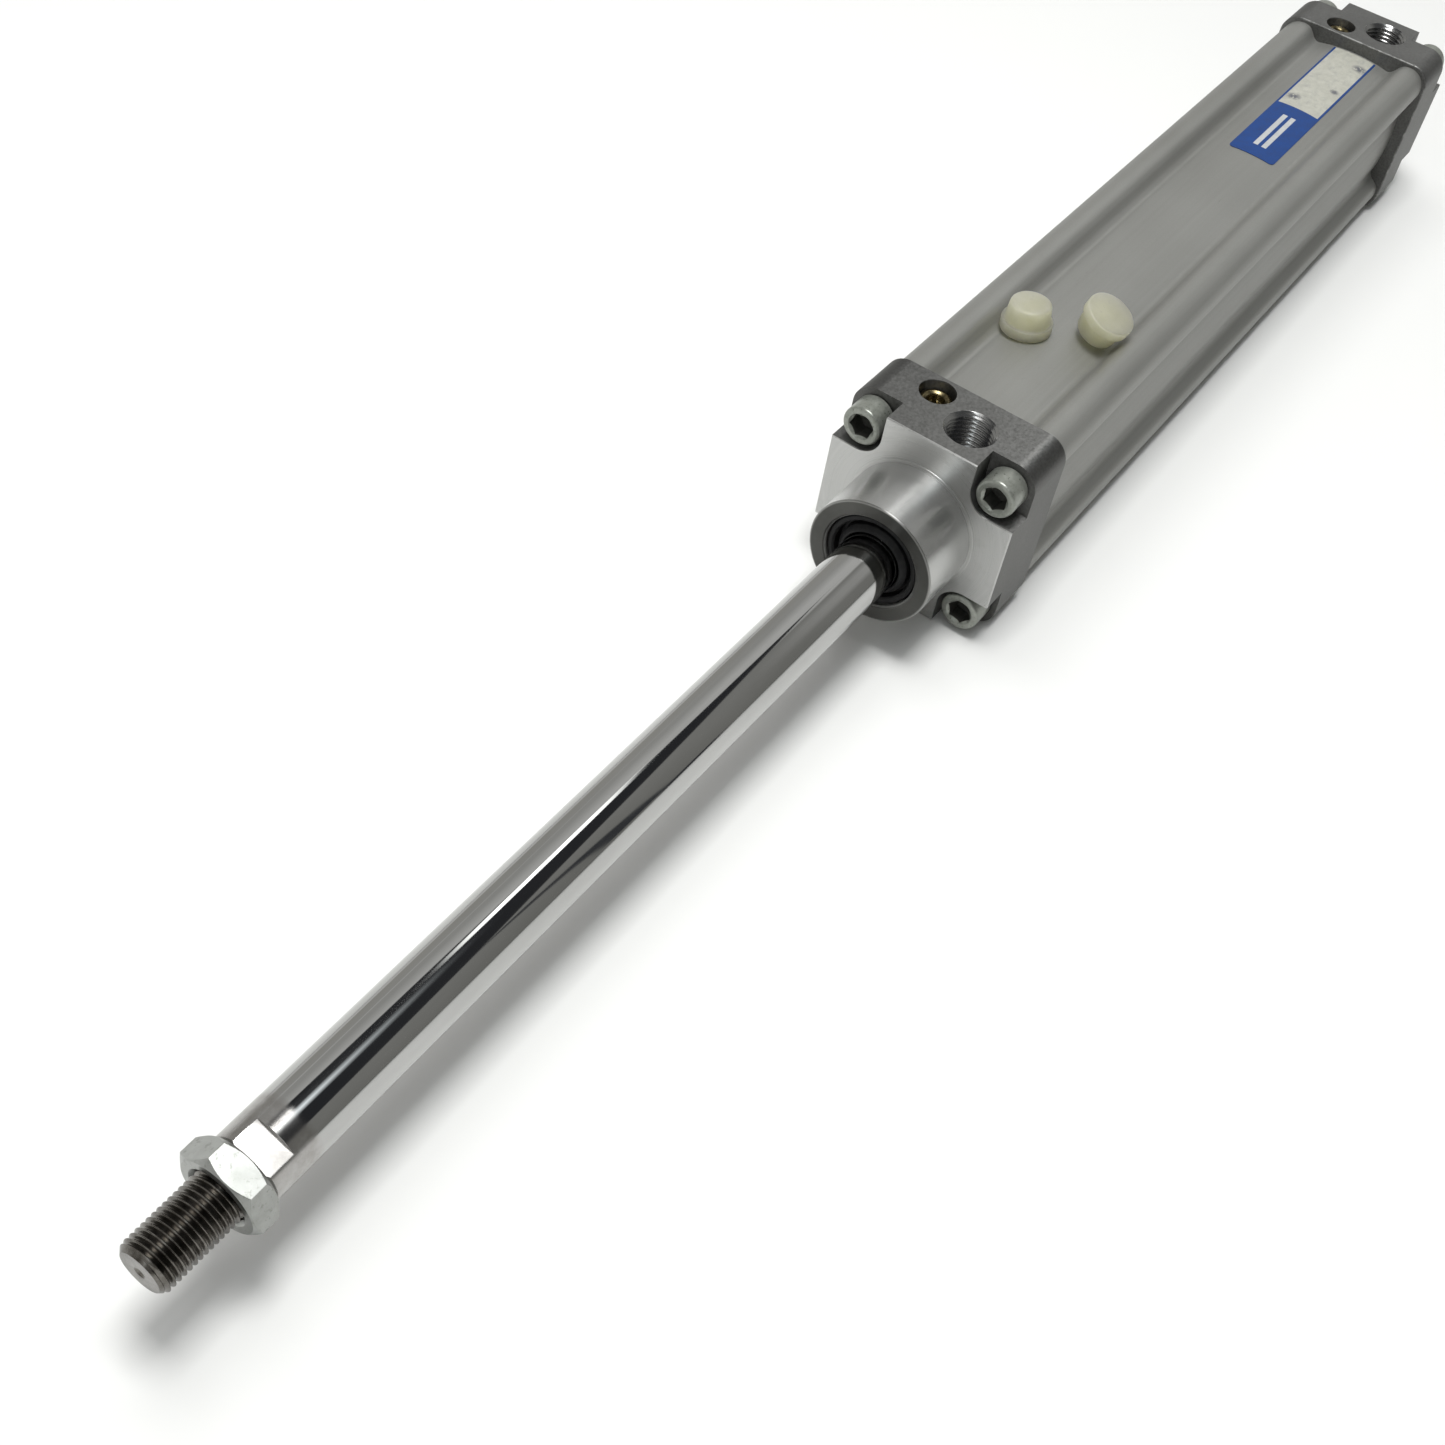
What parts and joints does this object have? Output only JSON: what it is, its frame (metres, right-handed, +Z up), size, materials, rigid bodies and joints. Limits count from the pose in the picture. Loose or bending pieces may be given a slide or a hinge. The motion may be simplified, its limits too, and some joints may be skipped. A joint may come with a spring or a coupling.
{
  "type": "pneumatic cylinder",
  "caption": "Double-acting pneumatic cylinder with profile barrel, square end caps, extended chromed rod with thread and nut, side ports and adjustable cushioning.",
  "frame": {"origin": "centre of the bounding box in X and Y, at the foot of the end caps in Z, with the rod fully out", "axes": "+X along the cylinder's axis towards the rod tip, +Z up through the two ports, +Y to the left seen from behind the rear cap"},
  "size_m": [0.5656, 0.053, 0.0603],
  "materials": {
    "anodised_aluminium": "matte grey anodised extrusion",
    "cast_aluminium": "die cast, machined on the front",
    "chromed_steel": "ground and hard chromed",
    "zinc_plated_steel": "dull zinc plating with age spots",
    "plain_steel": "oiled steel",
    "turned_aluminium": "turned",
    "brass": "aged brass",
    "bronze": "sintered bronze",
    "black_rubber": "matte black",
    "white_bearing_plastic": "plain",
    "ferrite": "plastic-bonded magnet",
    "label_vinyl": "printed blue and white vinyl",
    "natural_polyethylene": "translucent, uncoloured"
  },
  "bodies": {
    "housing": {"barrel": "anodised_aluminium", "front_cap": "cast_aluminium", "rear_cap": "cast_aluminium", "front_cap_screw_1": "zinc_plated_steel", "front_cap_screw_2": "zinc_plated_steel", "front_cap_screw_3": "zinc_plated_steel", "front_cap_screw_4": "zinc_plated_steel", "rear_cap_screw_1": "zinc_plated_steel", "rear_cap_screw_2": "zinc_plated_steel", "rear_cap_screw_3": "zinc_plated_steel", "rear_cap_screw_4": "zinc_plated_steel", "rod_bearing": "bronze", "rod_seal": "black_rubber", "rod_wiper": "black_rubber", "front_barrel_seal": "black_rubber", "rear_barrel_seal": "black_rubber", "front_cushion_seal": "black_rubber", "rear_cushion_seal": "black_rubber", "name_label": "label_vinyl"},
    "piston_seals": {"guide_ring": "white_bearing_plastic", "front_piston_seal": "black_rubber", "rear_piston_seal": "black_rubber"},
    "rod": {"piston_rod": "chromed_steel", "front_piston_half": "turned_aluminium", "rear_piston_half": "turned_aluminium", "magnet_ring": "ferrite", "front_cushion_sleeve": "turned_aluminium", "rear_cushion_sleeve": "turned_aluminium", "piston_nut": "plain_steel"},
    "rod_nut": {"rod_nut": "zinc_plated_steel"},
    "front_cushion_o_ring": {"front_cushion_screw_seal": "black_rubber"},
    "front_cushion_screw": {"front_cushion_screw": "brass"},
    "rear_cushion_o_ring": {"rear_cushion_screw_seal": "black_rubber"},
    "rear_cushion_screw": {"rear_cushion_screw": "brass"},
    "standing_plug": {"standing_port_plug": "natural_polyethylene"},
    "leaning_plug": {"leaning_port_plug": "natural_polyethylene"}
  },
  "joints": [
    {"name": "rod_stroke", "type": "slide", "parent": "housing", "child": "piston_seals", "axis": [1, 0, 0], "range_m": [-0.2, 0]},
    {"name": "rod_turn", "type": "hinge", "parent": "piston_seals", "child": "rod", "pos_m": [0.02625, 0, 0.0265], "axis": [1, 0, 0], "continuous": true},
    {"name": "rod_nut_turn", "type": "hinge", "parent": "rod", "child": "rod_nut", "pos_m": [0.26125, 0, 0.0265], "axis": [1, 0, 0], "range_deg": [0, 720]},
    {"name": "front_cushion_travel", "type": "slide", "parent": "housing", "child": "front_cushion_o_ring", "axis": [0, 0, 1], "range_m": [-0.0003, 0.0015]},
    {"name": "front_cushion_turn", "type": "hinge", "parent": "front_cushion_o_ring", "child": "front_cushion_screw", "pos_m": [0.00835, -0.0089, 0.0265], "axis": [0, 0, 1], "range_deg": [-108.5, 540.5]},
    {"name": "rear_cushion_travel", "type": "slide", "parent": "housing", "child": "rear_cushion_o_ring", "axis": [0, 0, 1], "range_m": [-0.0003, 0.0015]},
    {"name": "rear_cushion_turn", "type": "hinge", "parent": "rear_cushion_o_ring", "child": "rear_cushion_screw", "pos_m": [-0.26085, -0.0089, 0.0265], "axis": [0, 0, 1], "range_deg": [-108.5, 540.5]},
    {"name": "standing_plug_lift", "type": "slide", "parent": "housing", "child": "standing_plug", "axis": [0, 0, 1], "range_m": [0, 0.06]},
    {"name": "leaning_plug_lift", "type": "slide", "parent": "housing", "child": "leaning_plug", "axis": [0, 0, 1], "range_m": [0, 0.06]}
  ],
  "couplings": [
    {"joint": "front_cushion_turn", "follows": "front_cushion_travel", "rad_per_m": 6283.2},
    {"joint": "rear_cushion_turn", "follows": "rear_cushion_travel", "rad_per_m": 6283.2}
  ]
}
